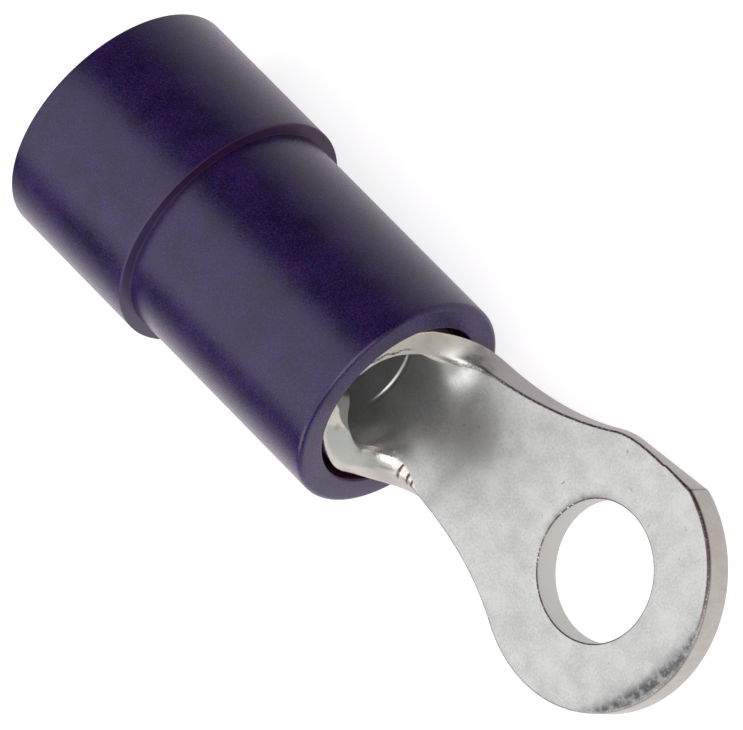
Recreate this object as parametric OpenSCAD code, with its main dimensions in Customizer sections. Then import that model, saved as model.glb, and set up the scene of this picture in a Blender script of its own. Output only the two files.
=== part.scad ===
// Insulated ring terminal, in millimetres.
// The origin is the centre of the stud hole, on the underside of the tongue.
// +X points from the wire barrel to the tip of the ring, +Z out of the open side of the trough.

/* [Sheet and tongue] */
// Thickness of the tinned copper sheet
sheet_t = 1.45; // [1.1:0.05:1.7]
// Outer width of the ring
ring_w = 12.8; // [11:0.1:14.5]
// Diameter of the stud hole, a clearance hole for a 1/4 inch or M6 stud
stud_hole_d = 6.5; // [5.2:0.1:7.5]
// How deep the shear that parts the blank from its neighbour flattens the ring's side
shear_flat = 0.32; // [0.05:0.01:0.5]
// Width of the neck at its narrowest, where the corner arcs to the barrel begin
neck_w = 7.3; // [6.2:0.1:8]

/* [Wire barrel] */
// Bore of the wire barrel
barrel_bore_d = 4.9; // [4.2:0.05:5.6]
// Length of the wire barrel along its seam side
barrel_len = 10.5; // [9:0.1:11.5]
// Distance from the centre of the stud hole back to the front of the barrel
barrel_x = 12.3; // [11:0.1:15]
// Length over which the roll opens in front of the barrel
roll_len = 2.4; // [1.8:0.1:4]
// Share of the roll that is spread along the neck as a shallow dish
dish = 0.5; // [0.1:0.02:0.6]
// Distance from where the neck's side leaves the ring back to where the dish has faded to flat
flat_gap = 1.2; // [0.4:0.1:4]
// Radius of the inside corner between the neck's side and the barrel's front edge
corner_r = 1.8; // [1:0.1:2.2]
// How far the upper part of the barrel's front edge leans back, in degrees
front_rake = 15; // [5:1:20]
// Gap of the butt seam along the top of the barrel
seam_gap = 0.12; // [0.06:0.02:0.3]
// Width of the notch that the blank's rounded corners leave at the front of the seam
seam_notch_w = 1; // [0.6:0.1:1.6]
// Length of that notch along the seam, from the raked front edge
seam_notch_len = 1; // [0.6:0.1:1.6]
// Number of gripping grooves inside the barrel
groove_count = 3; // [1:1:3]
// Width of each groove
groove_w = 0.3; // [0.2:0.05:0.5]
// Depth of each groove
groove_depth = 0.12; // [0.05:0.01:0.25]
// Spacing of the grooves
groove_pitch = 3.2; // [2:0.1:3.6]

/* [Insulating sleeve] */
// Outer diameter of the narrow part, over the wire barrel
sleeve_d = 11.3; // [10.2:0.1:11.4]
// Outer diameter of the bell at the cable end
bell_d = 12.45; // [12.3:0.05:14]
// Overall length of the sleeve
sleeve_len = 21; // [18:0.25:25]
// Length of the bell, from the step to the cable end
bell_len = 8.3; // [5:0.05:9]
// How far the barrel's front edge is set back inside the mouth
barrel_setback = 0.35; // [0.1:0.05:0.8]
// Diameter of the mouth that the tongue comes out of
mouth_d = 8.7; // [8.5:0.05:9.4]
// Depth of the mouth before it narrows to the barrel's seat
mouth_depth = 1.6; // [0.8:0.1:2.5]
// Inside diameter of the bell, where the cable's insulation goes
bell_bore_d = 9.8; // [8:0.1:10.4]
// Thickness of the stop that the barrel's rear edge seats on
stop_t = 0.6; // [0.4:0.1:1]
// Radial clearance between the barrel and its seat
seat_fit = 0.05; // [0.02:0.01:0.1]
// Radial step from the barrel's bore out to the throat of the stop
throat_step = 0.45; // [0.2:0.05:0.8]
// Radius of the rounded outer rims and of the step's outer corner
rim_r = 0.3; // [0.15:0.05:0.35]
// Radius of the fillet at the foot of the step
foot_r = 0.2; // [0.1:0.05:0.25]
// Chamfer at the mouth and at the cable end's inner edge
edge_chamfer = 0.15; // [0.05:0.05:0.3]

/* [Hidden] */
$fn = 96;
eps = 0.02;                                   // overlap that makes joined solids one body
ring_r = ring_w / 2;
bore_r = barrel_bore_d / 2;
barrel_r = bore_r + sheet_t;
axis_z = barrel_r;                            // the barrel's underside is flush with the tongue's
mid_r = bore_r + sheet_t / 2;
neck_half = neck_w / 2;
neck_x = barrel_x - corner_r;                 // how far behind the hole the neck is narrowest
// Radius of the neck's side arc, which touches the ring.
neck_r = (neck_x ^ 2 + neck_half ^ 2 - ring_r ^ 2) / (2 * (ring_r - neck_half));
neck_y = neck_half + neck_r;
touch_a = acos(-neck_x / (ring_r + neck_r));  // where that arc touches the ring
trough_x = ring_r * cos(touch_a) - flat_gap;  // where the dish has faded to flat
trough_len = barrel_x + trough_x;
rake_z = axis_z - mid_r * cos(arc_deg(neck_half + corner_r, 1 / mid_r));
seat_r = barrel_r + seat_fit;
sleeve_front = -barrel_x + barrel_setback;
stop_a = barrel_setback + barrel_len;         // distances a run back from the sleeve's front
step_a = sleeve_len - bell_len;

// Half width of the flat blank at x: the neck's side arc, or the corner arc behind the narrowest point.
function half_at(x) =
    x > -neck_x ? neck_y - sqrt(neck_r ^ 2 - (x + neck_x) ^ 2)
    : neck_half + corner_r - sqrt(max(0, corner_r ^ 2 - (x + neck_x) ^ 2));

// Curvature of the sheet at x: full at the barrel, a fading dish once the roll has opened, then flat.
function eased(u) = u >= 1 ? 1 : u * u * (3 - 2 * u);
function curve_at(x) =
    let (run = x + barrel_x)
    ((1 - dish) * (1 - eased(run / roll_len)) + dish * (1 - run / trough_len) ^ 2) / mid_r;
function arc_deg(s, k) = s * k * 180 / PI;

// A point of the bent sheet: s along its section from the middle, k its curvature, h above its mid-surface.
function bent(x, s, k, h) =
    let (a = arc_deg(s, k), flat = k * mid_r < 0.0001)
    [
        x,
        (flat ? s : sin(a) / k) - h * sin(a),
        sheet_t / 2 + (flat ? 0 : (1 - cos(a)) / k) + h * cos(a)
    ];

// An arc of points about a centre, from one angle to another; first = 1 leaves out the starting point.
function arc_points(c, r, from, to, steps, first = 0) =
    [for (i = [first:steps]) let (a = from + (to - from) * i / steps) c + r * [cos(a), sin(a)]];

// The flat blank from the tip of the ring back to where the trough starts: round the ring as far as
// the point where the neck's side arc touches it, then along that arc, and the same on the other side.
module tongue_outline() {
    trough_a = acos((trough_x + neck_x) / neck_r);
    side = concat(
        arc_points([0, 0], ring_r, 0, touch_a, 64),
        arc_points([-neck_x, neck_y], neck_r, touch_a - 180, -trough_a, 6, first = 1)
    );
    difference() {
        polygon(concat(side, [for (i = [len(side) - 1:-1:1]) [side[i].x, -side[i].y]]));
        translate([-ring_r, ring_r - shear_flat]) square([ring_w, ring_r]);
    }
}

module tongue() {
    difference() {
        linear_extrude(sheet_t) tongue_outline();
        translate([0, 0, -eps]) cylinder(h = sheet_t + 2 * eps, d = stud_hole_d);
    }
}

// The open trough, one closed skin of sections from inside the barrel's wall to inside the tongue.
// The first and the last section are drawn in by a hair, so that they are buried in the solids they join.
module trough() {
    across = 22;
    corner_steps = 9;
    neck_steps = 12;
    hair = 0.01;
    stations = concat(
        [for (i = [0:corner_steps]) -neck_x - corner_r * cos(90 * i / corner_steps)],
        [for (i = [1:neck_steps]) -neck_x + (trough_x + neck_x) * i / neck_steps]
    );
    last = len(stations) - 1;
    rings = concat(
        [section(stations[0], -eps, hair, across)],
        [section(stations[0], 0, hair, across)],
        [for (i = [1:last - 1]) section(stations[i], 0, 0, across)],
        [section(stations[last], 0, hair, across)],
        [section(stations[last], eps, hair, across)]
    );
    n = len(rings[0]);
    sides = [
        for (r = [0:len(rings) - 2], i = [0:n - 1])
            let (a = r * n + i, b = r * n + (i + 1) % n) each [[a, b + n, b], [a, a + n, b + n]]
    ];
    top = (len(rings) - 1) * n;
    caps = [for (i = [0:across - 1]) each [
        [i, i + 1, n - 1 - i],
        [i + 1, n - 2 - i, n - 1 - i],
        [top + i, top + n - 1 - i, top + i + 1],
        [top + i + 1, top + n - 1 - i, top + n - 2 - i]
    ]];
    polyhedron(points = [for (r = rings) each r], faces = concat(sides, caps), convexity = 6);
}

// One closed section of the sheet: along the underside, then back along the upper side.
function section(x, shift, inset, across) =
    let (half = half_at(x) - inset, k = curve_at(x), h = sheet_t / 2 - inset)
    concat(
        [for (i = [0:across]) bent(x, half * (2 * i / across - 1), k, -h) + [shift, 0, 0]],
        [for (i = [across:-1:0]) bent(x, half * (2 * i / across - 1), k, h) + [shift, 0, 0]]
    );

module barrel() {
    difference() {
        along_axis(-barrel_x - barrel_len) cylinder(h = barrel_len, r = barrel_r);
        along_axis(-barrel_x - barrel_len - eps) cylinder(h = barrel_len + 2 * eps, r = bore_r);
        grooves();
        seam();
        translate([-barrel_x, -barrel_r - eps, rake_z]) rotate([0, -front_rake, 0])
            cube([barrel_len, 2 * (barrel_r + eps), 2 * barrel_r]);
    }
}

module grooves() {
    first = (barrel_len - (groove_count - 1) * groove_pitch) / 2;
    for (i = [0:groove_count - 1])
        along_axis(-barrel_x - first - i * groove_pitch - groove_w / 2)
            cylinder(h = groove_w, r = bore_r + groove_depth);
}

// The butt seam, with the notch of the blank's two corners at its front.
module seam() {
    notch_x = -barrel_x - (2 * barrel_r - rake_z) * tan(front_rake);
    translate([-barrel_x - barrel_len - eps, -seam_gap / 2, axis_z])
        cube([barrel_len + 2 * eps, seam_gap, barrel_r + eps]);
    translate([notch_x, 0, axis_z]) linear_extrude(barrel_r + eps)
        polygon([[-seam_notch_len, 0], [0, -seam_notch_w / 2], [barrel_r, -seam_notch_w / 2],
            [barrel_r, seam_notch_w / 2], [0, seam_notch_w / 2]]);
}

// Lays a child cylinder along the barrel's axis, from x towards +X.
module along_axis(x) {
    translate([x, 0, axis_z]) rotate([0, 90, 0]) children();
}

module terminal() {
    color("silver") union() {
        tongue();
        trough();
        barrel();
    }
}

// Profile of the sleeve: distance back from its front, and radius.
module sleeve_profile() {
    front_r = sleeve_d / 2;
    bell_r = bell_d / 2;
    bell_bore_r = bell_bore_d / 2;
    mouth_r = mouth_d / 2;
    throat_r = bore_r + throat_step;
    funnel_a = stop_a + stop_t;
    steps = 6;
    polygon(concat(
        arc_points([rim_r, front_r - rim_r], rim_r, 180, 90, steps),
        arc_points([step_a - foot_r, front_r + foot_r], foot_r, 270, 360, steps),
        arc_points([step_a + rim_r, bell_r - rim_r], rim_r, 180, 90, steps),
        arc_points([sleeve_len - rim_r, bell_r - rim_r], rim_r, 90, 0, steps),
        [
            [sleeve_len, bell_bore_r + edge_chamfer],
            [sleeve_len - edge_chamfer, bell_bore_r],
            [funnel_a + bell_bore_r - throat_r, bell_bore_r],
            [funnel_a, throat_r],
            [stop_a, throat_r],
            [stop_a, seat_r],
            [mouth_depth + mouth_r - seat_r, seat_r],
            [mouth_depth, mouth_r],
            [edge_chamfer, mouth_r],
            [0, mouth_r + edge_chamfer]
        ]
    ));
}

module sleeve() {
    color("midnightblue")
        translate([sleeve_front, 0, axis_z]) rotate([0, -90, 0])
            rotate_extrude() mirror([1, -1, 0]) sleeve_profile();
}

terminal();
sleeve();
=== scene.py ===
import math
from types import SimpleNamespace

import bmesh
import bpy
from mathutils import Matrix, Vector
from mathutils.geometry import delaunay_2d_cdt


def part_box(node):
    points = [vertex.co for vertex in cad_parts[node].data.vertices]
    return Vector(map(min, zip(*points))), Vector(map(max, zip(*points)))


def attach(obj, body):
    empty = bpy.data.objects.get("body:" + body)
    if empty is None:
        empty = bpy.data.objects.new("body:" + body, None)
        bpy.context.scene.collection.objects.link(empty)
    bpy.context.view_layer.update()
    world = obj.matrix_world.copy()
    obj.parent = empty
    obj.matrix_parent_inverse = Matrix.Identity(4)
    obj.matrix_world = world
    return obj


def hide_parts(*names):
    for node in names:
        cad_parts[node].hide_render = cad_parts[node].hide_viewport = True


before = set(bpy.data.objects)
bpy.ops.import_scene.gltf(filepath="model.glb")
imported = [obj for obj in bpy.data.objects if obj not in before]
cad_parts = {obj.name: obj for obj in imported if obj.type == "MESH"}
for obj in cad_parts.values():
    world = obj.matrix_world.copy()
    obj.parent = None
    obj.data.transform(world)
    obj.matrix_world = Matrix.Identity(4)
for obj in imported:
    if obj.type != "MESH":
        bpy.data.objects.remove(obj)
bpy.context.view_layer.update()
mm = 0.001
edgeMarks = ("sheared", "worn", "drawn", "rimmed")     # attributes of the blank that the tin reads


class Value:
    # a node's socket that can be written in an expression

    def __init__(self, tree, socket):
        self.tree = tree
        self.socket = socket

    def math(self, operation, *others, clamp=False):
        settings = {"operation": operation, "use_clamp": clamp}
        return self.tree.add("ShaderNodeMath", settings, dict(enumerate((self, *others))))[0]

    def __add__(self, other):
        return self.math("ADD", other)

    def __radd__(self, other):
        return self.tree.number(other) + self

    def __sub__(self, other):
        return self.math("SUBTRACT", other)

    def __rsub__(self, other):
        return self.tree.number(other) - self

    def __mul__(self, other):
        return self.math("MULTIPLY", other)

    def __rmul__(self, other):
        return self.math("MULTIPLY", other)

    def __truediv__(self, other):
        return self.math("DIVIDE", other)

    def __rtruediv__(self, other):
        return self.tree.number(other) / self

    def __pow__(self, other):
        return self.math("POWER", other)

    def __neg__(self):
        return self * -1.0

    def abs(self):
        return self.math("ABSOLUTE")

    def sin(self):
        return self.math("SINE")

    def cos(self):
        return self.math("COSINE")

    def sqrt(self):
        return self.math("SQRT")

    def min(self, other):
        return self.math("MINIMUM", other)

    def max(self, other):
        return self.math("MAXIMUM", other)

    def clamped(self):
        return self.math("ADD", 0.0, clamp=True)

    def below(self, other):
        return self.math("LESS_THAN", other)

    def ramp(self, start, end):
        # 0 at start, 1 at end, smooth in between
        settings = {"interpolation_type": "SMOOTHSTEP"}
        return self.tree.add("ShaderNodeMapRange", settings, {0: self, 1: start, 2: end})[0]


class Tree:
    def __init__(self, nodeTree):
        self.nodeTree = nodeTree

    def add(self, kind, settings=None, inputs=None):
        node = self.nodeTree.nodes.new(kind)
        for name, value in (settings or {}).items():
            setattr(node, name, value)
        for key, value in (inputs or {}).items():
            socket = node.inputs[key]
            if isinstance(value, Value):
                self.nodeTree.links.new(value.socket, socket)
            else:
                socket.default_value = value
        return [Value(self, s) for s in node.outputs]

    def number(self, value):
        return self.add("ShaderNodeMath", {"operation": "ADD"}, {0: float(value), 1: 0.0})[0]

    def mixColour(self, factor, first, second):
        # the colour sockets of a Mix node are its inputs 6 and 7 and its output 2
        return self.add("ShaderNodeMix", {"data_type": "RGBA"}, {0: factor, 6: first, 7: second})[2]

    def noise(self, where, scale, detail=3.0, roughness=0.5, distortion=0.0):
        inputs = {"Vector": where, "Scale": scale, "Detail": detail, "Roughness": roughness,
                  "Distortion": distortion}
        return self.add("ShaderNodeTexNoise", {"noise_dimensions": "3D"}, inputs)[0]

    def scaled(self, where, factors):
        return self.add("ShaderNodeVectorMath", {"operation": "MULTIPLY"}, {0: where, 1: factors})[0]

    def bump(self, height, strength, distance):
        inputs = {"Strength": strength, "Distance": distance, "Height": height}
        return self.add("ShaderNodeBump", None, inputs)[0]

    def millimetres(self):
        # Object coordinates in millimetres, whole and split
        place = self.add("ShaderNodeTexCoord")[3]
        where = self.scaled(place, (1 / mm, 1 / mm, 1 / mm))
        return where, *self.add("ShaderNodeSeparateXYZ", None, {0: where})


def newMaterial(name):
    material = bpy.data.materials.new(name)
    material.use_nodes = True
    material.node_tree.nodes.clear()
    return material, Tree(material.node_tree)


def finishMaterial(tree, sockets):
    shader = tree.add("ShaderNodeBsdfPrincipled", None, sockets)[0]
    tree.add("ShaderNodeOutputMaterial", None, {"Surface": shader})


def link(piece):
    bpy.context.scene.collection.objects.link(piece)


def share(distance, width):
    # how far a distance goes into a width: 0 before it, 1 past it
    return min(1.0, max(0.0, distance / width))


def eased(t):
    return t * t * (3 - 2 * t)


# The terminal's finish. Colours first, then places in millimetres: a pair is where a change starts
# and ends, along X unless its note says otherwise. The right side is the one towards -Y.
tinLook = {
    "light": (0.585, 0.585, 0.58, 1.0),        # the plated faces, between these two
    "dull": (0.44, 0.44, 0.435, 1.0),
    # inner: duller plating in the trough, with painted shade there and on the left flank's walls
    "inner": (0.34, 0.33, 0.325, 1.0),         # in the trough
    # painted shade: a soft dark place in the trough
    "shadeInTrough": (0.27, 0.265, 0.26, 1.0),
    # painted dark reflection on the upper face where the punch drew it down
    "droopShade": (0.07, 0.07, 0.073, 1.0),         # where the punch drew the face down
    "stain": (0.16, 0.155, 0.15, 1.0),
    "sheared": (0.57, 0.58, 0.555, 1.0),       # the cut walls, between this and the next
    "warm": (0.55, 0.535, 0.49, 1.0),
    "rim": (0.49, 0.50, 0.465, 1.0),           # the wall round the ring, likewise
    "rimWarm": (0.46, 0.45, 0.40, 1.0),
    "holeWall": (0.53, 0.56, 0.515, 1.0),
    # painted shade on the neck's walls
    "neck": (0.40, 0.40, 0.395, 1.0),
    # cream: the mouth's front edge, and its painted highlight
    "cream": (0.90, 0.84, 0.76, 1.0),          # the mouth's front edge
    "yellowed": (0.80, 0.72, 0.56, 1.0),
    "greyed": (0.45, 0.485, 0.45, 1.0),
    "brown": (0.28, 0.21, 0.18, 1.0),
    # painted shade on the chamfer of the mouth's inner edge
    "chamferShade": (0.22, 0.215, 0.205, 1.0),
    # bare copper in cracks and along pressed edges, and painted shade on the notch's wall
    "copperAndShade": (0.10, 0.062, 0.066, 1.0),        # copper in cracks and along pressed edges
    "roughness": 0.36,
    "metallic": 0.8,
    "bumpStrength": 0.22,
    "bumpDistance": 0.00006,                   # metres
    "mouthEnds": (-11.0, -9.0),
    "troughEnds": (-11.0, -8.0),
    "neckShadeStarts": (-12.0, -11.2),
    "ringStarts": (-8.0, -4.0),
    "frontStarts": (-15.0, -14.0),             # what lies behind is inside the barrel
    "shadeInTroughAt": (-9.1, 0.5),                      # X and Y
    "shadeInTroughReach": (0.3, 2.0),                    # from there
    "lineStarts": (-11.5, -9.0),               # the dark line along the pressed edges
    "lineDirtier": (0.6, 3.0),                 # along Y
    "lineAtHole": (3.6, 4.2),                  # from the hole's middle
    "specksThin": (-3.0, 1.0),
    "rimStarts": (4.0, 5.5),                   # from the hole's middle
    "holeWallEnds": (3.4, 3.8),                # from the hole's middle
    "flatCrease": (1.735, 0.075),              # X at the lower face, and how much it leans
    "creaseSide": (5.0, 5.5),                  # along Y
    "patchEnds": (3.6, 3.85),                  # from the barrel's axis
    "patchTop": (-1.9, -1.7),                  # along Y
    "patchSide": (-11.95, -11.7),
    "browned": 3.5,                            # from the barrel's axis
    "brownedFrom": (-12.0, -11.5),
    "brownedTo": (-11.1, -10.9),
    "smudgeAt": (-1.85, 6.4),                  # Y and Z
    "chamferShadeEnds": (3.68, 3.78),                  # from the barrel's axis, less where Y is lower
    "chamferShadeAbove": (4.5, 5.0),                   # along Z
    "seamSide": (-0.5, -0.3),                  # along Y
    "leftStarts": (1.9, 2.3),                  # along Y
    "yellowStarts": (3.0, 3.8),                # from the barrel's axis
    "yellowEnds": (-12.1, -11.6),
    "runoutShadeFrom": (-11.8, -11.3),
    "runoutShadeTo": (-10.4, -9.0),
    "scuffsFrom": (-11.7, -11.3),
    "scuffsTo": (-10.4, -9.4),
    "scuffsAbove": (1.3, 1.7),                 # along Z
    "scuffsBelow": (2.4, 2.7),                 # along Z
    "dulledFrom": (-11.3, -11.15),
    "dulledTo": (-10.2, -9.6),
    "crackleAt": 2.92,                         # from the barrel's axis
    "crackleSide": (0.2, 0.8),                 # along Y
    "crackleAbove": (4.6, 5.2),                # along Z
    "outerAbove": (5.0, 5.8),                  # along Z
    "cracks": (-11.05, -10.6, -10.3),
    "cracksAbove": (1.95, 2.2),                # along Z, at the first of them
    "cracksSlope": 0.6,
}


def tinPlace(tree):
    # what the tin's patterns are made of: the place, the edge marks, noises and distances
    where, x, y, z = tree.millimetres()
    marks = {name: tree.add("ShaderNodeAttribute", {"attribute_name": name})[2] for name in edgeMarks}
    upward = z - (terminal["sheet"] + terminal["bore"])
    return SimpleNamespace(
        x=x, y=y, z=z, **marks,
        cloud=tree.noise(where, 0.75, 4.0, 0.55),
        grain=tree.noise(where, 9.0, 4.0, 0.7),
        speck=tree.noise(where, 11.0, 2.0, 0.6),
        pits=tree.noise(where, 3.2, 2.0, 0.5, 0.6).ramp(0.70, 0.78),
        blotch=tree.noise(where, 2.6, 3.0, 0.6).ramp(0.36, 0.62),
        streaks=tree.noise(tree.scaled(where, (2.6, 2.6, 1.2)), 1.0, 4.0, 0.6),
        pressed=marks["worn"].ramp(0.05, 0.8),
        mouth=1 - x.ramp(*tinLook["mouthEnds"]),
        front=x.ramp(*tinLook["frontStarts"]),
        left=y.ramp(*tinLook["leftStarts"]),
        fromHole=(x * x + y * y).sqrt(),
        fromAxis=(y * y + upward * upward).sqrt())


def plateColour(tree, at):
    # clouds, fine grain and small pits; painted dark reflection where the edges are drawn down; a duller
    # trough, with painted shade
    mottle = (at.cloud * 0.45 + at.grain * 0.55).ramp(0.36, 0.62)
    plate = tree.mixColour(mottle, tinLook["dull"], tinLook["light"])
    plate = tree.mixColour(at.pits * 0.5, plate, tinLook["stain"])
    # painted dark reflection where the face droops, by the tip and by the hole
    deep = at.drawn.ramp(0.01, 0.5) * (1 - at.drawn.ramp(0.8, 1.0) * 0.3)
    droopShade = deep * (at.blotch * 0.4 + at.grain * 0.3 + 0.4)
    plate = tree.mixColour(droopShade.clamped(), plate, tinLook["droopShade"])
    # duller plating in the trough, and painted shade in its hollow
    troughDullAndShade = 1 - at.x.ramp(*tinLook["troughEnds"])
    plate = tree.mixColour(troughDullAndShade * 0.2, plate, tinLook["inner"])
    # painted shade: a soft dark place in the trough
    shadeX, shadeY = tinLook["shadeInTroughAt"]
    fromShadeInTrough = ((at.x - shadeX) ** 2 + (at.y - shadeY) ** 2).sqrt()
    shadeInTrough = (1 - fromShadeInTrough.ramp(*tinLook["shadeInTroughReach"])) * (at.cloud * 0.6 + 0.3)
    return tree.mixColour(shadeInTrough, plate, tinLook["shadeInTrough"])


def wallColour(tree, at):
    # streaks along the sheared walls, painted shade along the neck's walls, and a thin painted shade line
    # at the crease where the shear flat starts
    streaky = at.streaks.ramp(0.35, 0.65)
    wall = tree.mixColour(streaky, tinLook["sheared"], tinLook["warm"])
    onRing = at.x.ramp(*tinLook["ringStarts"])
    rim = tree.mixColour(streaky, tinLook["rim"], tinLook["rimWarm"])
    wall = tree.mixColour(at.fromHole.ramp(*tinLook["rimStarts"]) * onRing, wall, rim)
    wall = tree.mixColour(1 - at.fromHole.ramp(*tinLook["holeWallEnds"]), wall, tinLook["holeWall"])
    # painted shade: a thin dark line along the crease where the shear flat starts
    creaseAt, lean = tinLook["flatCrease"]
    fromCrease = at.x - at.z * lean - creaseAt + (at.grain - 0.5) * 0.05
    creaseShade = (1 - fromCrease.abs().ramp(0.03, 0.08)) * at.y.ramp(*tinLook["creaseSide"])
    wall = tree.mixColour(creaseShade * 0.9, wall, tinLook["brown"])
    # painted shade: the walls greyer along the neck
    neck = at.x.ramp(*tinLook["neckShadeStarts"]) * (1 - onRing) * (at.streaks * 0.5 + 0.6)
    wall = tree.mixColour(neck.clamped(), wall, tinLook["neck"])
    return tree.mixColour(at.mouth * 0.35, wall, tinLook["cream"])


def edgeColour(tree, at, colour):
    # a dark line along the pressed edges with bright specks, and a painted highlight on the rims round the
    # mouth
    atHole = 1 - at.fromHole.ramp(*tinLook["lineAtHole"])
    dirty = at.y.ramp(*tinLook["lineDirtier"]).max(atHole) * 0.75 + 0.25
    line = at.pressed * at.x.ramp(*tinLook["lineStarts"]) * (at.grain * 0.7 + 0.6) * dirty
    colour = tree.mixColour(line.clamped(), colour, tinLook["copperAndShade"])
    thinner = 0.8 - at.x.ramp(*tinLook["specksThin"]) * 0.5
    specks = at.pressed * at.speck.ramp(0.56, 0.66) * thinner
    colour = tree.mixColour(specks, colour, tinLook["cream"])
    # painted highlight, cream, on the rounded rims of the mouth
    rimHighlight = (at.rimmed.ramp(0.1, 0.7) * 0.7 + at.pressed * 0.6) * at.mouth
    return tree.mixColour(rimHighlight.clamped(), colour, tinLook["cream"])


def rightMouthColour(tree, at, colour):
    # a greyed patch inside a pale rim, brown marks, painted shade on a chamfer of the inner edge, and
    # painted shade on the notch's wall
    right = at.sheared * at.y.below(-0.05) * at.front
    patch = (1 - at.fromAxis.ramp(*tinLook["patchEnds"])) * (1 - at.y.ramp(*tinLook["patchTop"]))
    patch = patch * (1 - at.x.ramp(*tinLook["patchSide"]))
    colour = tree.mixColour(patch * right * 0.9, colour, tinLook["greyed"])
    browned = 1 - (at.fromAxis + (at.grain - 0.5) * 0.2 - tinLook["browned"]).abs().ramp(0.02, 0.14)
    browned = browned * at.x.ramp(*tinLook["brownedFrom"]) * (1 - at.x.ramp(*tinLook["brownedTo"])) * right
    colour = tree.mixColour(browned * 0.6, colour, tinLook["brown"])
    smudgeY, smudgeZ = tinLook["smudgeAt"]
    smudge = 1 - ((at.y - smudgeY) ** 2 + (at.z - smudgeZ) ** 2).sqrt().ramp(0.05, 0.3)
    colour = tree.mixColour(smudge * right * at.grain, colour, tinLook["brown"])
    # painted shade: grey where the inner edge is chamfered
    chamferShade = 1 - (at.fromAxis - at.y * 0.6 + (at.streaks - 0.5) * 0.3).ramp(*tinLook["chamferShadeEnds"])
    chamferShade = chamferShade * at.z.ramp(*tinLook["chamferShadeAbove"])
    colour = tree.mixColour(chamferShade * right, colour, tinLook["chamferShade"])
    # painted shade: the notch's wall dark, as a recess
    seam = at.y.ramp(*tinLook["seamSide"]) * right * at.mouth
    return tree.mixColour(seam, colour, tinLook["copperAndShade"])


def leftMouthColour(tree, at, colour):
    # yellower outside; painted shade on the walls, and scuffs, where the edge runs out into the neck
    left = at.left * at.mouth * at.front
    yellowed = at.fromAxis.ramp(*tinLook["yellowStarts"]) * (1 - at.x.ramp(*tinLook["yellowEnds"]))
    colour = tree.mixColour(yellowed * at.sheared * left * 0.4, colour, tinLook["yellowed"])
    # painted shade: the left flank's walls greyer
    runoutShade = at.x.ramp(*tinLook["runoutShadeFrom"]) * (1 - at.x.ramp(*tinLook["runoutShadeTo"]))
    colour = tree.mixColour(runoutShade * at.sheared * at.left * 0.55, colour, tinLook["inner"])
    scuffs = at.x.ramp(*tinLook["scuffsFrom"]) * (1 - at.x.ramp(*tinLook["scuffsTo"]))
    scuffs = scuffs * at.z.ramp(*tinLook["scuffsAbove"]) * (1 - at.z.ramp(*tinLook["scuffsBelow"]))
    scuffs = scuffs * (at.streaks * 0.6 + at.grain * 0.4).ramp(0.38, 0.66) * 0.6
    dulled = at.pressed * at.x.ramp(*tinLook["dulledFrom"]) * (1 - at.x.ramp(*tinLook["dulledTo"]))
    dulled = dulled * (at.grain.ramp(0.35, 0.6) * 0.5 + 0.45)
    return tree.mixColour((scuffs * at.sheared).max(dulled) * at.left, colour, tinLook["stain"])


def flawColour(tree, at, colour):
    # stains round the mouth, and fine cracks along its inner and outer edges
    stained = at.mouth * at.sheared * (1 - at.grain.ramp(0.30, 0.42)) * at.streaks.ramp(0.45, 0.55)
    colour = tree.mixColour(stained * 0.7, colour, tinLook["stain"])
    fromCrackle = at.fromAxis + (at.streaks - 0.5) * 0.5 - tinLook["crackleAt"]
    crackle = (1 - fromCrackle.abs().ramp(0.03, 0.1)) * at.mouth * at.sheared
    crackle = crackle * at.y.ramp(*tinLook["crackleSide"]) * at.z.ramp(*tinLook["crackleAbove"])
    crackle = crackle * at.grain.ramp(0.38, 0.5)
    colour = tree.mixColour(crackle * 0.9, colour, tinLook["copperAndShade"])
    outer = at.rimmed.ramp(0.05, 0.4) * at.mouth * at.z.ramp(*tinLook["outerAbove"])
    outer = outer * at.grain.ramp(0.46, 0.56)
    return tree.mixColour(outer * 0.85, colour, tinLook["copperAndShade"])


def openCracks(at):
    # the short cracks across the right corner, each reaching a little lower than the last
    wander = (at.grain - 0.5) * 0.1
    cracks = sum((1 - (at.x + wander - x).abs().ramp(0.03, 0.09) for x in tinLook["cracks"]), 0.0)
    slope = (at.x - tinLook["cracks"][0]) * tinLook["cracksSlope"]
    upper = (at.z + slope).ramp(*tinLook["cracksAbove"])
    return cracks.clamped() * at.pressed.max(at.sheared) * at.y.below(0.0) * upper


def makeTin():
    material, tree = newMaterial("tinnedCopper")
    at = tinPlace(tree)
    colour = tree.mixColour(at.sheared, plateColour(tree, at), wallColour(tree, at))
    for paint in (edgeColour, rightMouthColour, leftMouthColour, flawColour):
        colour = paint(tree, at, colour)
    cracks = openCracks(at)
    colour = tree.mixColour(cracks, colour, tinLook["copperAndShade"])
    roughness = (at.grain - 0.5) * 0.16 + tinLook["roughness"] + at.sheared * 0.08
    roughness = roughness - at.pressed * at.mouth * 0.18
    height = at.grain * 0.5 + at.cloud * 0.35 - at.pits * 0.4 + at.sheared * at.streaks * 0.2 - cracks
    finishMaterial(tree, {
        "Base Color": colour,
        "Roughness": roughness,
        "Metallic": tinLook["metallic"],
        "Normal": tree.bump(height, tinLook["bumpStrength"], tinLook["bumpDistance"]),
    })
    return material


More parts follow.
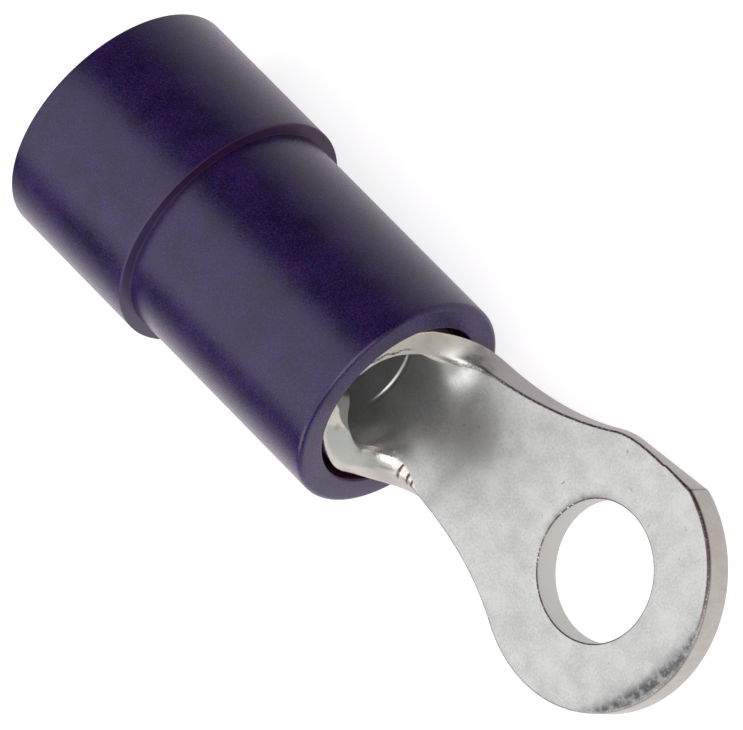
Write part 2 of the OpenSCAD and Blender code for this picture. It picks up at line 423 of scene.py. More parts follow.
nylonLook = {
    "colour": (0.006, 0.002, 0.026, 1.0),
    "paler": (0.036, 0.014, 0.104, 1.0),
    "greener": (0.008, 0.014, 0.044, 1.0),
    "redder": (0.040, 0.002, 0.034, 1.0),
    "bluer": (0.004, 0.005, 0.105, 1.0),
    # painted shade: the redder look of the inside of the mouth
    "inside": (0.060, 0.008, 0.044, 1.0),
    # painted shade on the step's face on its left, painted light on it on its right
    "step": (0.026, 0.002, 0.024, 1.0),        # the face of the step, on its left
    "stepLit": (0.052, 0.036, 0.084, 1.0),    # and on its right
    "stepLitChanges": (0.2, 2.8),                 # between the two, along Y in millimetres
    "insideShadeEnds": (4.32, 4.5),                 # from the sleeve's axis
    "roughness": 0.25,
    "bumpStrength": 0.25,
    "bumpDistance": 0.00005,                   # metres
}


def makeNylon():
    # dark moulded nylon, speckled with paler, greener, redder and bluer tints of its own colour; painted
    # shade inside the mouth, and painted light and shade on the step's face
    material, tree = newMaterial("blueNylon")
    where, x, y, z = tree.millimetres()
    up = z - sleeve["axis"]
    radius = (y * y + up * up).sqrt()
    cloud = tree.noise(where, 0.6, 3.0, 0.55)
    grain = tree.noise(where, 12.0, 3.0, 0.75)
    tint = tree.noise(where, 9.0, 2.0, 0.6)
    blue = tree.noise(tree.scaled(where, (1.0, -1.0, 1.0)), 6.0, 2.0, 0.6)
    speckle = (cloud * 0.3 + grain * 0.7).ramp(0.40, 0.60)
    colour = tree.mixColour(speckle, nylonLook["colour"], nylonLook["paler"])
    colour = tree.mixColour(tint.ramp(0.54, 0.68) * 0.8, colour, nylonLook["greener"])
    colour = tree.mixColour((1 - tint.ramp(0.32, 0.46)) * 0.8, colour, nylonLook["redder"])
    colour = tree.mixColour(blue.ramp(0.55, 0.70) * 0.7, colour, nylonLook["bluer"])
    # painted shade inside the mouth
    inside = 1 - radius.ramp(*nylonLook["insideShadeEnds"])
    colour = tree.mixColour(inside, colour, nylonLook["inside"])
    step = sleeve["front"] - sleeve["length"] + sleeve["bellLength"]
    atStep = 1 - (x - step).abs().ramp(0.02, 0.16)
    # painted light and shade: the step's face paler on its right, darker on its left
    stepLitAndShaded = tree.mixColour(y.ramp(*nylonLook["stepLitChanges"]), nylonLook["stepLit"], nylonLook["step"])
    colour = tree.mixColour(atStep * (grain * 0.6 + 0.4), colour, stepLitAndShaded)
    roughness = (grain - 0.5) * 0.3 + (cloud - 0.5) * 0.08 + atStep * 0.12 + nylonLook["roughness"]
    height = grain * 0.8 + cloud * 0.5
    finishMaterial(tree, {
        "Base Color": colour,
        "Roughness": roughness,
        "Normal": tree.bump(height, nylonLook["bumpStrength"], nylonLook["bumpDistance"]),
    })
    return material


# The terminal is a flat blank, cut out of sheet and then formed. x runs along it from the middle of
# the hole, s across it. All sizes are in millimetres.
terminal = {
    "sheet": 1.45,
    "ring": 6.4,               # radius
    "hole": 3.25,              # radius
    "neckHalf": 3.65,
    "neckBack": 10.5,          # from the hole back to the narrowest place
    "corner": 1.8,             # radius between the neck and the barrel
    "barrelFront": 12.3,
    "barrelLength": 10.5,
    "bore": 2.45,              # radius
    "seamGap": 0.12,
    "rake": 15.0,              # how far the barrel's front edge leans back, in degrees
    "rakeBlend": 0.3,          # how softly the raked front leaves the corners
    "notchLength": 1.0,        # how far the front is cut back at the seam
    "notchHalf": 1.1,
    "seamSlope": -20.0,        # the front edge's slope where the notch meets the seam
    # how the sheet is rolled; the left side, towards +Y, opens sooner than the right one
    "rollLeft": 1.9,
    "rollRight": 3.0,
    "rollBlend": 1.2,          # half the width over which one side's roll turns into the other's
    "dish": 0.5,
    "flatFrom": 4.337,         # from the hole back to where the dish has faded
    "grooves": 3,
    "groovePitch": 3.2,
    "grooveWidth": 0.24,
    "grooveDepth": 0.09,
    "grooveFade": (-3.1, -0.8),     # across the blank: none on the right, full from the middle on
    # the flat that the shear leaves on the ring twists from the lower face (0) to the upper one (1)
    "flatAt": 1.84,
    "flatSlope": 0.119,
    "flatBlend": (0.25, 0.7),
    # rounds of the edges
    "topRound": 0.13,
    "bottomRound": 0.1,
    "holeRound": 0.08,
    "ringRound": 0.2,          # on the ring's tip, where the punch drew it down
    "barrelRound": 0.07,       # on the outside of the barrel's front edge
    "mouthRound": 0.32,        # on its inside
    "rightRound": 0.6,         # on its inside at the right corner
    "crispRound": 0.06,        # and from there up to the seam
    "crispFrom": -5.2,         # across the blank
    "crispOver": 0.5,
    "rightCornerAt": -11.2,
    "rightCornerReach": 1.2,
    "mouthFrom": -9.6,         # where the edge turns from the neck's to the mouth's
    "mouthOver": 1.2,
    "mouthReach": 3.4,         # how far behind the barrel's front it is the mouth's
    "mouthFade": 0.8,
    "tipAlong": (0.5, 2.0),    # where the tip's round starts, and over what length
    "tipAcross": (-5.5, 1.5),
    # the mouth's own unevenness
    "swell": {"x": -10.75, "s": 3.1, "reach": 0.45, "height": 0.05},
    "flare": {"s": -4.6, "behind": 1.1, "before": 1.7, "reach": 1.5, "height": 0.24},
    "ahead": {"x": -11.0, "s": 4.6, "over": 2.4, "fade": 7.0, "length": 0.28},
    # where the punch draws the upper face down: depth, width, middle and spread in degrees
    "droops": {"tip": (0.17, 1.6, -20.0, 52.0), "hole": (0.06, 0.8, 150.0, 80.0)},
    # spacing of the mesh's points
    "roundSteps": 5,           # over an edge's round
    "step": 0.14,              # along an edge
    "margin": 0.12,            # inside an edge
    "fill": 0.3,
    "bendFill": 0.2,           # where the sheet bends and where it droops
    "bendAcross": 0.24,
    "grooveFill": 0.04,
}
midRadius = terminal["bore"] + terminal["sheet"] / 2
neckRadius = (terminal["neckBack"] ** 2 + terminal["neckHalf"] ** 2 - terminal["ring"] ** 2) / (
    2 * (terminal["ring"] - terminal["neckHalf"]))
neckCentre = terminal["neckHalf"] + neckRadius
touchAngle = math.acos(-terminal["neckBack"] / (terminal["ring"] + neckRadius))
cornerFoot = terminal["neckHalf"] + terminal["corner"]
seamHalf = math.pi * midRadius - terminal["seamGap"] / 2
barrelBack = terminal["barrelFront"] + terminal["barrelLength"]
firstGroove = (terminal["barrelLength"] - (terminal["grooves"] - 1) * terminal["groovePitch"]) / 2


def arc(centre, radius, start, end):
    # points of an arc with their outward normals; a negative radius is a hollow arc
    count = max(4, round(abs(radius * (end - start)) / terminal["step"]))
    points = []
    for i in range(count + 1):
        a = start + (end - start) * i / count
        out = Vector((math.cos(a), math.sin(a)))
        points.append((Vector(centre) + abs(radius) * out, out if radius > 0 else -out))
    return points


def run(start, end, normal):
    # the points between two ends of a straight edge
    start, end = Vector(start), Vector(end)
    count = max(1, round((end - start).length / terminal["step"]))
    return [(start.lerp(end, i / count), Vector(normal)) for i in range(1, count)]


def rakedFront(s):
    # where the barrel's front edge lies in the flat blank
    rise = max(0.0, midRadius * (math.cos(cornerFoot / midRadius) - math.cos(s / midRadius)))
    rise = math.hypot(rise, terminal["rakeBlend"]) - terminal["rakeBlend"]
    notch = max(0.0, (s - (seamHalf - terminal["notchHalf"])) / terminal["notchHalf"])
    cut = terminal["notchLength"] * (1 - math.sqrt(max(0.0, 1 - notch ** 2)))
    return -terminal["barrelFront"] - math.tan(math.radians(terminal["rake"])) * rise - cut


def frontEdge():
    # its points lie closer together towards the seam, where the notch turns it
    count = round((seamHalf - cornerFoot) / terminal["step"])
    points = []
    for i in range(1, count + 1):
        s = cornerFoot + (seamHalf - cornerFoot) * math.sin(i / count * math.pi / 2) ** 0.75
        slope = terminal["seamSlope"]
        if s < seamHalf - 0.01:
            slope = (rakedFront(s + 0.001) - rakedFront(s - 0.001)) / 0.002
        points.append((Vector((rakedFront(s), s)), Vector((1.0, -slope)).normalized()))
    return points


def halfOutline():
    flatAngle = math.acos(terminal["flatAt"] / terminal["ring"])
    ring = arc((0, 0), terminal["ring"], 0, flatAngle)
    ring += arc((0, 0), terminal["ring"], flatAngle, touchAngle)[1:]
    neck = arc((-terminal["neckBack"], neckCentre), -neckRadius, touchAngle - math.pi, -math.pi / 2)[1:]
    corner = arc((-terminal["neckBack"], cornerFoot), -terminal["corner"], -math.pi / 2, -math.pi)[1:]
    front = frontEdge()
    seam = run(front[-1][0], (-barrelBack, seamHalf), (0, 1))
    rearCorner = [(Vector((-barrelBack, seamHalf)), Vector((-1, 1)))]
    rear = run((-barrelBack, seamHalf), (-barrelBack, 0), (-1, 0))
    return ring + neck + corner + front + seam + rearCorner + rear


def ahead(x, s):
    # the barrel's right half stands a little further forward, up to the seam
    shape = terminal["ahead"]
    if x > shape["x"]:
        return 0.0
    turn = share(s - shape["s"], shape["over"])
    return shape["length"] * eased(turn) * share(x + barrelBack, shape["fade"])


def outline():
    half = halfOutline()
    middle = [(Vector((-barrelBack, 0.0)), Vector((-1.0, 0.0)))]
    other = [(Vector((p.x + ahead(p.x, p.y), -p.y)), Vector((n.x, -n.y))) for p, n in reversed(half[1:])]
    return half + middle + other


def halfWidth(x):
    if x > terminal["ring"] * math.cos(touchAngle):
        return math.sqrt(max(0.0, terminal["ring"] ** 2 - x * x))
    if x > -terminal["neckBack"]:
        return neckCentre - math.sqrt(neckRadius ** 2 - (x + terminal["neckBack"]) ** 2)
    if x > -terminal["barrelFront"]:
        reach = terminal["corner"] ** 2 - (x + terminal["neckBack"]) ** 2
        return cornerFoot - math.sqrt(max(0.0, reach))
    return seamHalf


def shearLimit(x, level):
    # the shear flat's line at a level of the sheet; it runs out softly towards the neck
    at = terminal["flatAt"]
    corner = math.sqrt(terminal["ring"] ** 2 - at ** 2)
    line = corner + terminal["flatSlope"] * (x - at) * (1 - level)
    free = halfWidth(x)
    if x > 0:
        return min(line, free)
    lower, upper = terminal["flatBlend"]
    blend = lower + (upper - lower) * level
    overlap = max(0.0, blend - abs(line - free)) / blend
    return min(line, free) - overlap ** 2 * blend / 4


def fillRows():
    # places of the rows along x, close together at the grooves and where the sheet bends or droops
    bendBack, bendFront, droopFrom, nearGroove = -13.5, -3, 3, 0.25
    margin = terminal["margin"]
    first = -terminal["barrelFront"] - firstGroove
    grooves = [first - i * terminal["groovePitch"] for i in range(terminal["grooves"])]
    rows = []
    x = -barrelBack + margin + 0.2
    while x < terminal["ring"] - margin:
        rows.append(x)
        if min(abs(x - groove) for groove in grooves) < nearGroove:
            x += terminal["grooveFill"]
        elif bendBack < x < bendFront or x > droopFrom:
            x += terminal["bendFill"]
        else:
            x += terminal["fill"]
    return rows


def insidePoints():
    # a fill of points that keeps clear of the hole, the shear flat and the raked front
    margin = terminal["margin"]
    closeBehind, closeBeyond = -8, 3.4         # the points lie closer together there
    shearFrom, clear = -5, 0.1
    rakeFrom, rakeLeast, rakeClear = 4.9, 5.4, 0.5
    points = []
    for x in fillRows():
        limit = halfWidth(x) - margin - max(edgeRounds(x, -1.0, False))
        spacing = terminal["fill"] if closeBehind <= x <= closeBeyond else terminal["bendAcross"]
        count = int(limit / spacing)
        for i in range(-count, count + 1):
            s = i * spacing
            if math.hypot(x, s) < terminal["hole"] + margin + clear:
                continue
            if x > shearFrom and s > min(shearLimit(x, 0.0), shearLimit(x, 1.0)) - margin - clear:
                continue
            atFront = x < -terminal["barrelFront"] + 0.3 and abs(s) > rakeFrom
            if atFront and x > rakedFront(max(abs(s), rakeLeast)) - margin - rakeClear:
                continue
            points.append((x, s))
    return points


def inset(point, normal, distance, level):
    # a point of the outline moved inwards, and held inside the shear flat
    flatFrom, flatPast, rimDepth = -6, 0.4, 1.2
    p = point - normal * distance
    onFlat = flatFrom < point.x < terminal["flatAt"] + flatPast and point.y > 0
    if onFlat and point.length > terminal["ring"] - rimDepth:
        p.y = min(p.y, shearLimit(p.x, level) - distance)
    return p


def droop(x, s):
    radius, angle = math.hypot(x, s), math.degrees(math.atan2(s, x))
    total = 0.0
    for place, (depth, width, middle, spread) in terminal["droops"].items():
        distance = radius - terminal["hole"] if place == "hole" else terminal["ring"] - radius
        inward = 1 - share(distance, width)
        away = abs((angle - middle + 180) % 360 - 180)
        total += depth * inward ** 2 * math.cos(share(away, spread) * math.pi / 2) ** 2
    return total


def swell(x, s):
    # a low swelling of the inner face by the mouth's left corner
    shape = terminal["swell"]
    distance = (x - shape["x"]) ** 2 + (s - shape["s"]) ** 2
    return shape["height"] * math.exp(-distance / (2 * shape["reach"] ** 2))


def flare(x, s):
    # the barrel's mouth stands outwards a little, low on its right side
    shape = terminal["flare"]
    fromFront = x + terminal["barrelFront"]
    behind = eased(share(fromFront + shape["behind"], shape["behind"]))
    before = math.exp(-(max(0.0, fromFront) / shape["before"]) ** 2 / 2)
    return shape["height"] * behind * before * math.exp(-((s - shape["s"]) / shape["reach"]) ** 2 / 2)


def edgeRounds(x, s, isHole):
    # rounds of the upper and the lower edge
    if isHole:
        return terminal["holeRound"], terminal["holeRound"]
    inFront = share(terminal["mouthFrom"] - x, terminal["mouthOver"])
    fromRear = share(x + terminal["barrelFront"] + terminal["mouthReach"], terminal["mouthFade"])
    atMouth = eased(inFront * fromRear)
    inside = terminal["mouthRound"]
    if s < 0:
        atCorner = 1 - share(abs(x - terminal["rightCornerAt"]), terminal["rightCornerReach"])
        inside += (terminal["rightRound"] - inside) * atCorner
        crisp = share(terminal["crispFrom"] - s, terminal["crispOver"]) * atMouth
        inside += (terminal["crispRound"] - terminal["mouthRound"]) * crisp
    upper = terminal["topRound"] + (inside - terminal["topRound"]) * atMouth
    tipX, overX = terminal["tipAlong"]
    tipS, overS = terminal["tipAcross"]
    atTip = share(x - tipX, overX) * share(s - tipS, overS)
    upper += (terminal["ringRound"] - terminal["topRound"]) * atTip
    lower = terminal["bottomRound"] + (terminal["barrelRound"] - terminal["bottomRound"]) * atMouth
    return upper, lower


def edgeLayers():
    # from the upper face's edge down to the lower one's: the side, how far inwards, how far down
    turns = [i / terminal["roundSteps"] * math.pi / 2 for i in range(terminal["roundSteps"] + 1)]
    layers = [("top", 1 - math.sin(a), 1 - math.cos(a)) for a in turns]
    layers += [("wall", 0.0, 0.25), ("wall", 0.0, 0.5), ("wall", 0.0, 0.75)]
    return layers + [("bottom", 1 - math.cos(a), math.sin(a)) for a in turns]


def addPoint(blank, place, sheared=0.0, worn=0.0, drawn=0.0, rimmed=0.0):
    blank.points.append(place)
    for name, value in zip(edgeMarks, (sheared, worn, drawn, rimmed)):
        blank.marks[name].append(value)
    return len(blank.points) - 1


def addEdge(blank, loop, isHole):
    # a rounded edge along a loop; gives back its rows on the upper and on the lower face
    half = terminal["sheet"] / 2
    rows = []
    for side, away, down in edgeLayers():
        row = []
        for p, n in loop:
            roundUp, roundDown = edgeRounds(p.x, p.y, isHole)
            drop = droop(p.x, p.y)
            top = half - drop + swell(p.x, p.y)
            marks = {"sheared": (1 - away) ** 2}
            if side == "top":
                distance, h = roundUp * away, top - roundUp * down
                marks.update(worn=4 * away * (1 - away), drawn=drop * 6)
            elif side == "wall":
                distance, h = 0.0, top - roundUp - down * (top + half - roundUp - roundDown)
            else:
                distance, h = roundDown * away, -half + roundDown * (1 - down)
                marks.update(rimmed=4 * away * (1 - away))
            q = inset(p, n, distance, 0.5 + h / terminal["sheet"])
            row.append(addPoint(blank, (q.x, q.y, h - flare(p.x, p.y)), **marks))
        rows.append(row)
    for upper, lower in zip(rows, rows[1:]):
        for i in range(len(upper)):
            j = (i + 1) % len(upper)
            blank.faces.append((upper[j], upper[i], lower[i], lower[j]))
    return rows[0], rows[-1]


def addFace(blank, outer, inner, fill, upward):
    # one face of the sheet, in triangles between its outer edge and the hole's
    height = terminal["sheet"] / 2 if upward else -terminal["sheet"] / 2
    n, m = len(outer), len(inner)
    flat = [Vector(blank.points[i][:2]) for i in outer + inner] + [Vector(p) for p in fill]
    edges = [(i, (i + 1) % n) for i in range(n)] + [(n + i, n + (i + 1) % m) for i in range(m)]
    # output type 1 keeps only the triangles inside the edges
    points, _, triangles, origins, _, _ = delaunay_2d_cdt(flat, edges, [], 1, 1e-5)
    ids = []
    for p, origin in zip(points, origins):
        known = [o for o in origin if o < n + m]
        if known:
            ids.append((outer + inner)[known[0]])
            continue
        down = droop(p.x, p.y) if upward else 0.0
        raised = swell(p.x, p.y) if upward else 0.0
        place = (p.x, p.y, height - down + raised - flare(p.x, p.y))
        ids.append(addPoint(blank, place, drawn=down * 6))
    holeReach = Vector(blank.points[inner[0]][:2]).length
    for triangle in triangles:
        corners = [ids[t] for t in triangle]
        a, b, c = (Vector(blank.points[i][:2]) for i in corners)
        if ((a + b + c) / 3).length < holeReach:
            continue
        if ((b - a).cross(c - a) > 0) != upward:
            corners.reverse()
        blank.faces.append(tuple(corners))


def makeBlank():
    blank = SimpleNamespace(points=[], faces=[], marks={name: [] for name in edgeMarks})
    hole = [(p, -n) for p, n in arc((0, 0), terminal["hole"], 2 * math.pi, 0)[1:]]
    rimTop, rimBottom = addEdge(blank, outline(), False)
    holeTop, holeBottom = addEdge(blank, hole, True)
    fill = insidePoints()
    addFace(blank, rimTop, holeTop, fill, True)
    addFace(blank, rimBottom, holeBottom, fill, False)
    mesh = bpy.data.meshes.new("terminal")
    mesh.from_pydata([(x * mm, y * mm, z * mm) for x, y, z in blank.points], [], blank.faces)
    for name, values in blank.marks.items():
        attribute = mesh.attributes.new(name, "FLOAT", "POINT")
        attribute.data.foreach_set("value", values)
    mesh.update()
    piece = bpy.data.objects.new("terminalMetal", mesh)
    link(piece)
    return piece


def newGroup(name, inputs):
    # a Geometry Nodes tree with named inputs, the geometry first and the material last
    group = bpy.data.node_groups.new(name, "GeometryNodeTree")
    kinds = {"Geometry": "Geometry", **inputs, "Material": "Material"}
    for title, kind in kinds.items():
        group.interface.new_socket(title, in_out="INPUT", socket_type="NodeSocket" + kind)
    group.interface.new_socket("Geometry", in_out="OUTPUT", socket_type="NodeSocketGeometry")
    tree = Tree(group)
    return group, tree, dict(zip(kinds, tree.add("NodeGroupInput")))


def finishGroup(tree, geometry, material):
    real = tree.add("GeometryNodeRealizeInstances", None, {0: geometry})[0]
    done = tree.add("GeometryNodeSetMaterial", None, {0: real, "Material": material})[0]
    tree.add("NodeGroupOutput", None, {0: done})


def applyTree(piece, group, values):
    # runs the tree on the piece and keeps the result as a plain mesh
    modifier = piece.modifiers.new(group.name, "NODES")
    modifier.node_group = group
    for item in group.interface.items_tree:
        if item.in_out == "INPUT" and item.name in values:
            modifier[item.identifier] = values[item.name]
    graph = bpy.context.evaluated_depsgraph_get()
    result = bpy.data.meshes.new_from_object(piece.evaluated_get(graph))
    piece.modifiers.remove(modifier)
    piece.data = result


def formingTree(sizes):
    # bends the flat blank: full roll at the barrel, opening to a dish and then to the flat tongue
    group, tree, given = newGroup("formTerminal", {name: "Float" for name in sizes})
    half, front = given["Half Sheet"], given["Barrel Front"]
    x, s, h = tree.add("ShaderNodeSeparateXYZ", None, {0: tree.add("GeometryNodeInputPosition")[0]})
    # grooves press into the inner face of the barrel only
    back = -x - front - given["Groove First"]
    nearest = (back / given["Groove Pitch"]).math("ROUND").max(0.0).min(given["Groove Count"] - 1.0)
    away = (back - nearest * given["Groove Pitch"]).abs()
    halfWide = given["Groove Half Width"]
    pressed = (1.0 - away.ramp(halfWide * 0.55, halfWide * 1.25)) * (h / half).ramp(0.0, 1.0)
    pressed = pressed * s.ramp(given["Groove Fade From"], given["Groove Fade To"])
    h = h - pressed * given["Groove Depth"]
    # curvature: most of it leaves within the roll length, the rest fades as a dish
    along = x + front
    sides = s.ramp(-given["Roll Blend"], given["Roll Blend"])
    roll = given["Roll Right"] + (given["Roll Left"] - given["Roll Right"]) * sides
    rolled = 1.0 - along.ramp(0.0, roll)
    left = 1.0 - (along / (front - given["Flat From"])).clamped()
    bend = (rolled * (1.0 - given["Dish"]) + left * left * given["Dish"]) / given["Mid Radius"]
    bend = bend.max(1e-4)                      # so that the flat tongue divides by no zero
    angle = s * bend
    y = angle.sin() / bend - h * angle.sin()
    z = half + (1.0 - angle.cos()) / bend + h * angle.cos()
    place = tree.add("ShaderNodeCombineXYZ", None, {0: x, 1: y, 2: z})[0]
    moved = tree.add("GeometryNodeSetPosition", None, {0: given["Geometry"], 2: place})[0]
    finishGroup(tree, moved, given["Material"])
    return group


def makeTerminal(material):
    piece = makeBlank()
    sizes = {
        "Mid Radius": midRadius * mm,
        "Half Sheet": terminal["sheet"] / 2 * mm,
        "Barrel Front": terminal["barrelFront"] * mm,
        "Roll Left": terminal["rollLeft"] * mm,
        "Roll Right": terminal["rollRight"] * mm,
        "Roll Blend": terminal["rollBlend"] * mm,
        "Dish": terminal["dish"],
        "Flat From": terminal["flatFrom"] * mm,
        "Groove First": firstGroove * mm,
        "Groove Pitch": terminal["groovePitch"] * mm,
        "Groove Half Width": terminal["grooveWidth"] / 2 * mm,
        "Groove Depth": terminal["grooveDepth"] * mm,
        "Groove Count": float(terminal["grooves"]),
        "Groove Fade From": terminal["grooveFade"][0] * mm,
        "Groove Fade To": terminal["grooveFade"][1] * mm,
    }
    applyTree(piece, formingTree(sizes), {**sizes, "Material": material})
    piece.data.polygons.foreach_set("use_smooth", [True] * len(piece.data.polygons))
    nearFlat, flatSide = 0.03, 5
    for edge in piece.data.edges:
        # the upright edge where the shear flat starts stays sharp
        a, b = (piece.data.vertices[i].co / mm for i in edge.vertices)
        upright = abs(a.z - b.z) > 0.5 * (a - b).length
        atFlat = max(abs(p.x - terminal["flatAt"]) for p in (a, b)) < nearFlat and a.y > flatSide
        edge.use_edge_sharp = upright and atFlat
    print("terminal formed:", len(piece.data.polygons), "faces")
    return piece


# The sleeve is a profile turned round the barrel's axis. Its radii and its distances back from its
# front end are in millimetres.
sleeve = {
    "front": -11.95,           # X of its front end
    "axis": terminal["sheet"] + terminal["bore"],       # Z of its axis, which is the barrel's
    "outer": 5.65,             # radius of the narrow part
    "bell": 6.225,             # radius of the bell
    "length": 21.0,
    "bellLength": 8.3,
    "bellBore": 4.9,           # radius
    "mouth": 4.35,             # radius
    "mouthDepth": 1.6,
    "seat": 3.95,              # radius round the barrel
    "throat": 2.9,             # radius behind the barrel
    "stop": 10.85,
    "stopThick": 0.6,
    "rimRound": 0.3,
    "mouthRound": 0.12,
    "rearRound": 0.12,
    "stepRound": 0.06,
    "footRound": 0.02,
    "pointSpacing": 0.9,
    "segments": 240,
    "sharpFrom": 35,           # degrees between faces
}


def cornerPoints(centre, radius, start, end, count=8):
    points = []
    for i in range(count + 1):
        a = math.radians(start + (end - start) * i / count)
        points.append((centre[0] + radius * math.cos(a), centre[1] + radius * math.sin(a)))
    return points


def divided(points, spacing):
    # adds points along the long straight stretches of a closed profile
    result = []
    for a, b in zip(points, points[1:] + points[:1]):
        result.append(a)
        count = int(math.dist(a, b) / spacing)
        for i in range(1, count):
            result.append((a[0] + (b[0] - a[0]) * i / count, a[1] + (b[1] - a[1]) * i / count))
    return result


def sleeveProfile():
    # distance back from the front end, and radius; outside to the rear, then inside to the front
    v = sleeve
    stepAt = v["length"] - v["bellLength"]
    rim, lip, edge, foot, rear = (v[name + "Round"] for name in ("rim", "mouth", "step", "foot", "rear"))
    funnel = v["stop"] + v["stopThick"]
    points = cornerPoints((rim, v["outer"] - rim), rim, 180, 90)
    points += cornerPoints((stepAt - foot, v["outer"] + foot), foot, 270, 360)
    points += cornerPoints((stepAt + edge, v["bell"] - edge), edge, 180, 90)
    points += cornerPoints((v["length"] - rear, v["bell"] - rear), rear, 90, 0)
    points += cornerPoints((v["length"] - lip, v["bellBore"] + lip), lip, 0, -90)
    points += [(funnel + v["bellBore"] - v["throat"], v["bellBore"]), (funnel, v["throat"])]
    points += [(v["stop"], v["throat"]), (v["stop"], v["seat"])]
    points += [(v["mouthDepth"] + v["mouth"] - v["seat"], v["seat"]), (v["mouthDepth"], v["mouth"])]
    points += cornerPoints((lip, v["mouth"] + lip), lip, 270, 180)
    return divided(points, v["pointSpacing"])


def latheTree():
    # lays the profile's points over a grid, one column for each turn, and joins the grid's ends
    group, tree, given = newGroup("turnProfile", {"Segments": "Int", "Axis Height": "Float"})
    profile, segments = given["Geometry"], given["Segments"]
    count = tree.add("GeometryNodeAttributeDomainSize", {"component": "MESH"}, {0: profile})[0]
    grid = tree.add("GeometryNodeMeshGrid", None, {
        "Size X": 1.0, "Size Y": 1.0, "Vertices X": segments + 1.0, "Vertices Y": count + 1.0})[0]
    index = tree.add("GeometryNodeInputIndex")[0]
    across = (index / (count + 1.0)).math("FLOOR")
    along = (index - across * (count + 1.0)).math("MODULO", count)
    point = tree.add("GeometryNodeInputPosition")[0]
    sampled = tree.add("GeometryNodeSampleIndex", {"data_type": "FLOAT_VECTOR", "domain": "POINT"}, {
        "Geometry": profile, "Value": point, "Index": along})[0]
    x, _, radius = tree.add("ShaderNodeSeparateXYZ", None, {0: sampled})
    angle = across / segments * (2 * math.pi)
    y, z = radius * angle.sin(), given["Axis Height"] + radius * angle.cos()
    place = tree.add("ShaderNodeCombineXYZ", None, {0: x, 1: y, 2: z})[0]
    turned = tree.add("GeometryNodeSetPosition", None, {0: grid, 2: place})[0]
    joined = tree.add("GeometryNodeMergeByDistance", None, {0: turned, "Distance": 1e-7})[0]
    finishGroup(tree, joined, given["Material"])
    return group


def makeSleeve(material):
    points = [((sleeve["front"] - back) * mm, 0.0, radius * mm) for back, radius in sleeveProfile()]
    mesh = bpy.data.meshes.new("sleeve")
    mesh.from_pydata(points, [(i, (i + 1) % len(points)) for i in range(len(points))], [])
    piece = bpy.data.objects.new("sleeveMoulding", mesh)
    link(piece)
    applyTree(piece, latheTree(), {
        "Segments": sleeve["segments"], "Axis Height": sleeve["axis"] * mm, "Material": material})
    work = bmesh.new()
    work.from_mesh(piece.data)
    bmesh.ops.recalc_face_normals(work, faces=work.faces)
    for edge in work.edges:
        edge.smooth = edge.calc_face_angle(0.0) < math.radians(sleeve["sharpFrom"])
    work.to_mesh(piece.data)
    work.free()
    piece.data.polygons.foreach_set("use_smooth", [True] * len(piece.data.polygons))
    print("sleeve turned:", len(piece.data.polygons), "faces")
    return piece


# The floor and the light round the two pieces.
stage = {
    "floorSize": 3.0,                          # metres
    "floorColour": (0.46, 0.43, 0.45, 1.0),
    "floorGlow": (0.68, 0.63, 0.655, 1.0),     # a pool of light round the object
    "floorFar": (0.04, 0.037, 0.039, 1.0),
    "floorSeen": (0.8, 0.8, 0.8, 1.0),         # as the camera sees it
    "floorRoughness": 0.9,
    "poolMiddle": (-13.0, -9.0, 18.0),         # its middle and half its length, in millimetres
    "poolEdge": (0.006, 0.045),                # metres
    "dimWorld": 0.05,
    "aim": (-12.0, 0.0, 4.0),                  # millimetres
    "softboxes": {
        # size, radiance, azimuth, elevation, distance
        "overhead": ((1.1, 0.88), 1.27, -90.0, 73.0, 0.42),
        "front": ((0.34, 0.26), 3.0, 12.0, 32.0, 0.45),
        "left": ((0.22, 0.16), 3.0, -76.0, 20.0, 0.45),
    },
}


def makeFloor(height):
    mesh = bpy.data.meshes.new("floor")
    a = stage["floorSize"] / 2
    corners = [(-a, -a, height), (a, -a, height), (a, a, height), (-a, a, height)]
    mesh.from_pydata(corners, [], [(0, 1, 2, 3)])
    floor = bpy.data.objects.new("floor", mesh)
    link(floor)
    material, tree = newMaterial("paleFloor")
    seen = tree.add("ShaderNodeLightPath")[0]
    x, y, _ = tree.add("ShaderNodeSeparateXYZ", None, {0: tree.add("ShaderNodeTexCoord")[3]})
    middle, side, reach = (v * mm for v in stage["poolMiddle"])
    along = ((x - middle).abs() - reach).max(0.0)
    away = (along ** 2 + (y - side) ** 2).sqrt()
    pool = tree.mixColour(away.ramp(*stage["poolEdge"]), stage["floorGlow"], stage["floorFar"])
    finishMaterial(tree, {
        "Base Color": stage["floorColour"],
        "Roughness": stage["floorRoughness"],
        "Emission Color": tree.mixColour(seen, pool, stage["floorSeen"]),
        "Emission Strength": 1.0,
    })
    floor.data.materials.append(material)


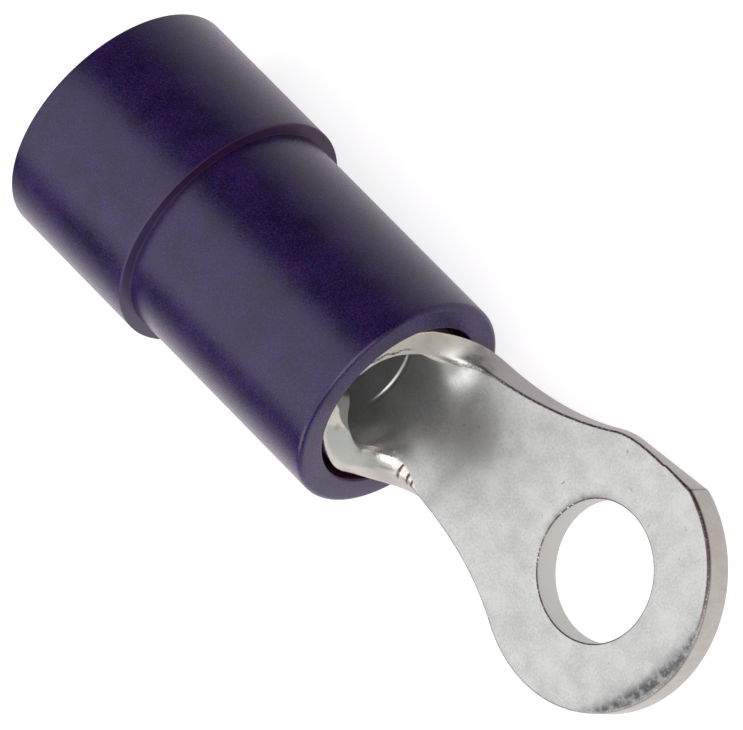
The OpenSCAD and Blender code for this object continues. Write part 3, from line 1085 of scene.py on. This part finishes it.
def makeSoftbox(name, size, radiance, azimuth, elevation, distance):
    # a soft rectangle that looks at the object; its first side stays level
    light = bpy.data.lights.new(name, "AREA")
    light.shape = "RECTANGLE"
    light.size, light.size_y = size
    light.energy = radiance * math.pi * size[0] * size[1]
    lamp = bpy.data.objects.new(name, light)
    link(lamp)
    a, e = math.radians(azimuth), math.radians(elevation)
    back = Vector((math.cos(a) * math.cos(e), math.sin(a) * math.cos(e), math.sin(e)))
    level = Vector((0, 0, 1)).cross(back).normalized()
    turn = Matrix((level, back.cross(level), back)).transposed().to_4x4()
    lamp.matrix_world = Matrix.Translation(Vector(stage["aim"]) * mm + back * distance) @ turn
    lamp.visible_camera = False


def makeLights():
    for name, box in stage["softboxes"].items():
        makeSoftbox(name, *box)
    world = bpy.data.worlds.new("studio")
    bpy.context.scene.world = world
    world.use_nodes = True
    world.node_tree.nodes.clear()
    tree = Tree(world.node_tree)
    seen = tree.add("ShaderNodeLightPath")[0]
    level = stage["dimWorld"]
    colour = tree.mixColour(seen, (level, level, level, 1.0), (1.0, 1.0, 1.0, 1.0))
    back = tree.add("ShaderNodeBackground", None, {"Color": colour, "Strength": 1.0})[0]
    tree.add("ShaderNodeOutputWorld", None, {"Surface": back})


view = {
    "lens": 742.9,
    "sensor": 36.0,
    "clip": (0.05, 10.0),                      # metres
    "standsAt": (331.87, 244.37, 552.17),      # millimetres, as is the point below
    "looksAt": (-12.386, 1.777, 6.996),
    "right": (0.6085, 0.5075, -0.6101),
}


def makeCamera():
    data = bpy.data.cameras.new("camera")
    data.sensor_fit = "HORIZONTAL"
    data.sensor_width = view["sensor"]
    data.lens = view["lens"]
    data.clip_start, data.clip_end = view["clip"]
    camera = bpy.data.objects.new("camera", data)
    link(camera)
    place = Vector(view["standsAt"]) * mm
    back = (place - Vector(view["looksAt"]) * mm).normalized()
    up = back.cross(Vector(view["right"])).normalized()
    turn = Matrix((up.cross(back), up, back)).transposed().to_4x4()
    camera.matrix_world = Matrix.Translation(place) @ turn
    bpy.context.scene.camera = camera


tin = makeTin()
nylon = makeNylon()
print("materials made: tin and nylon")
terminalMetal = makeTerminal(tin)
sleeveMoulding = makeSleeve(nylon)
pieces = ((terminalMetal, "terminal", "tinned_copper"), (sleeveMoulding, "sleeve", "blue_nylon"))
for piece, node, slotName in pieces:
    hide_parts(node)
    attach(piece, "root")
makeFloor(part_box("sleeve")[0].z)
makeLights()
makeCamera()
bpy.context.scene.view_settings.view_transform = "Standard"
print("stage set: floor, lights and camera")
print("scene ready")
